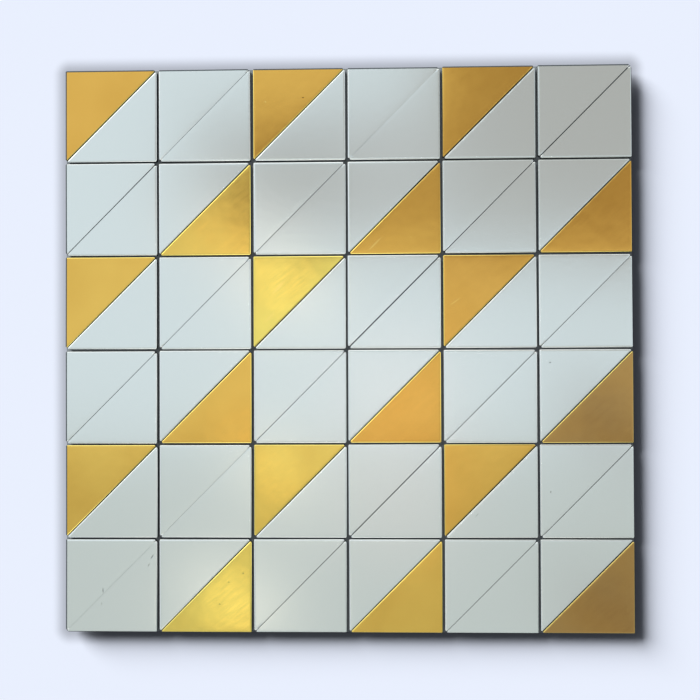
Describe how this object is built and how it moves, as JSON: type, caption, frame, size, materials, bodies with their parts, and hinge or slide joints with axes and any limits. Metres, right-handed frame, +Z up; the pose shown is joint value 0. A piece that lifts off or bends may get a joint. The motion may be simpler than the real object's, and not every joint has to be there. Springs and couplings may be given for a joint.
{
  "type": "self-adhesive mosaic tile",
  "caption": "Square peel-and-stick wall tile: triangular gold and white metal-faced chips on a black self-adhesive foam backing.",
  "frame": {"origin": "centre of the adhesive back, on the wall's surface", "axes": "+X along the wall to the right as seen from the front, +Y into the wall, +Z up; the front faces -Y"},
  "size_m": [0.3, 0.004, 0.2986],
  "materials": {
    "gold_chip": "gold lacquer over polished aluminium, satin gloss, on a black plastic core",
    "white_chip": "silvery white lacquer over aluminium, semi-gloss, on a black plastic core",
    "backing": "black closed-cell foam with a tacky adhesive back"
  },
  "bodies": {
    "root": {"adhesive_backing": "backing", "gold_chip_r1_c1": "gold_chip", "white_chip_r1_c1": "white_chip", "white_chip_pair_r1_c2": "white_chip", "gold_chip_r1_c3": "gold_chip", "white_chip_r1_c3": "white_chip", "white_chip_pair_r1_c4": "white_chip", "gold_chip_r1_c5": "gold_chip", "white_chip_r1_c5": "white_chip", "white_chip_pair_r1_c6": "white_chip", "white_chip_pair_r2_c1": "white_chip", "gold_chip_r2_c2": "gold_chip", "white_chip_r2_c2": "white_chip", "white_chip_pair_r2_c3": "white_chip", "gold_chip_r2_c4": "gold_chip", "white_chip_r2_c4": "white_chip", "white_chip_pair_r2_c5": "white_chip", "gold_chip_r2_c6": "gold_chip", "white_chip_r2_c6": "white_chip", "gold_chip_r3_c1": "gold_chip", "white_chip_r3_c1": "white_chip", "white_chip_pair_r3_c2": "white_chip", "gold_chip_r3_c3": "gold_chip", "white_chip_r3_c3": "white_chip", "white_chip_pair_r3_c4": "white_chip", "gold_chip_r3_c5": "gold_chip", "white_chip_r3_c5": "white_chip", "white_chip_pair_r3_c6": "white_chip", "white_chip_pair_r4_c1": "white_chip", "gold_chip_r4_c2": "gold_chip", "white_chip_r4_c2": "white_chip", "white_chip_pair_r4_c3": "white_chip", "gold_chip_r4_c4": "gold_chip", "white_chip_r4_c4": "white_chip", "white_chip_pair_r4_c5": "white_chip", "gold_chip_r4_c6": "gold_chip", "white_chip_r4_c6": "white_chip", "gold_chip_r5_c1": "gold_chip", "white_chip_r5_c1": "white_chip", "white_chip_pair_r5_c2": "white_chip", "gold_chip_r5_c3": "gold_chip", "white_chip_r5_c3": "white_chip", "white_chip_pair_r5_c4": "white_chip", "gold_chip_r5_c5": "gold_chip", "white_chip_r5_c5": "white_chip", "white_chip_pair_r5_c6": "white_chip", "white_chip_pair_r6_c1": "white_chip", "gold_chip_r6_c2": "gold_chip", "white_chip_r6_c2": "white_chip", "white_chip_pair_r6_c3": "white_chip", "gold_chip_r6_c4": "gold_chip", "white_chip_r6_c4": "white_chip", "white_chip_pair_r6_c5": "white_chip", "gold_chip_r6_c6": "gold_chip", "white_chip_r6_c6": "white_chip"}
  },
  "joints": []
}
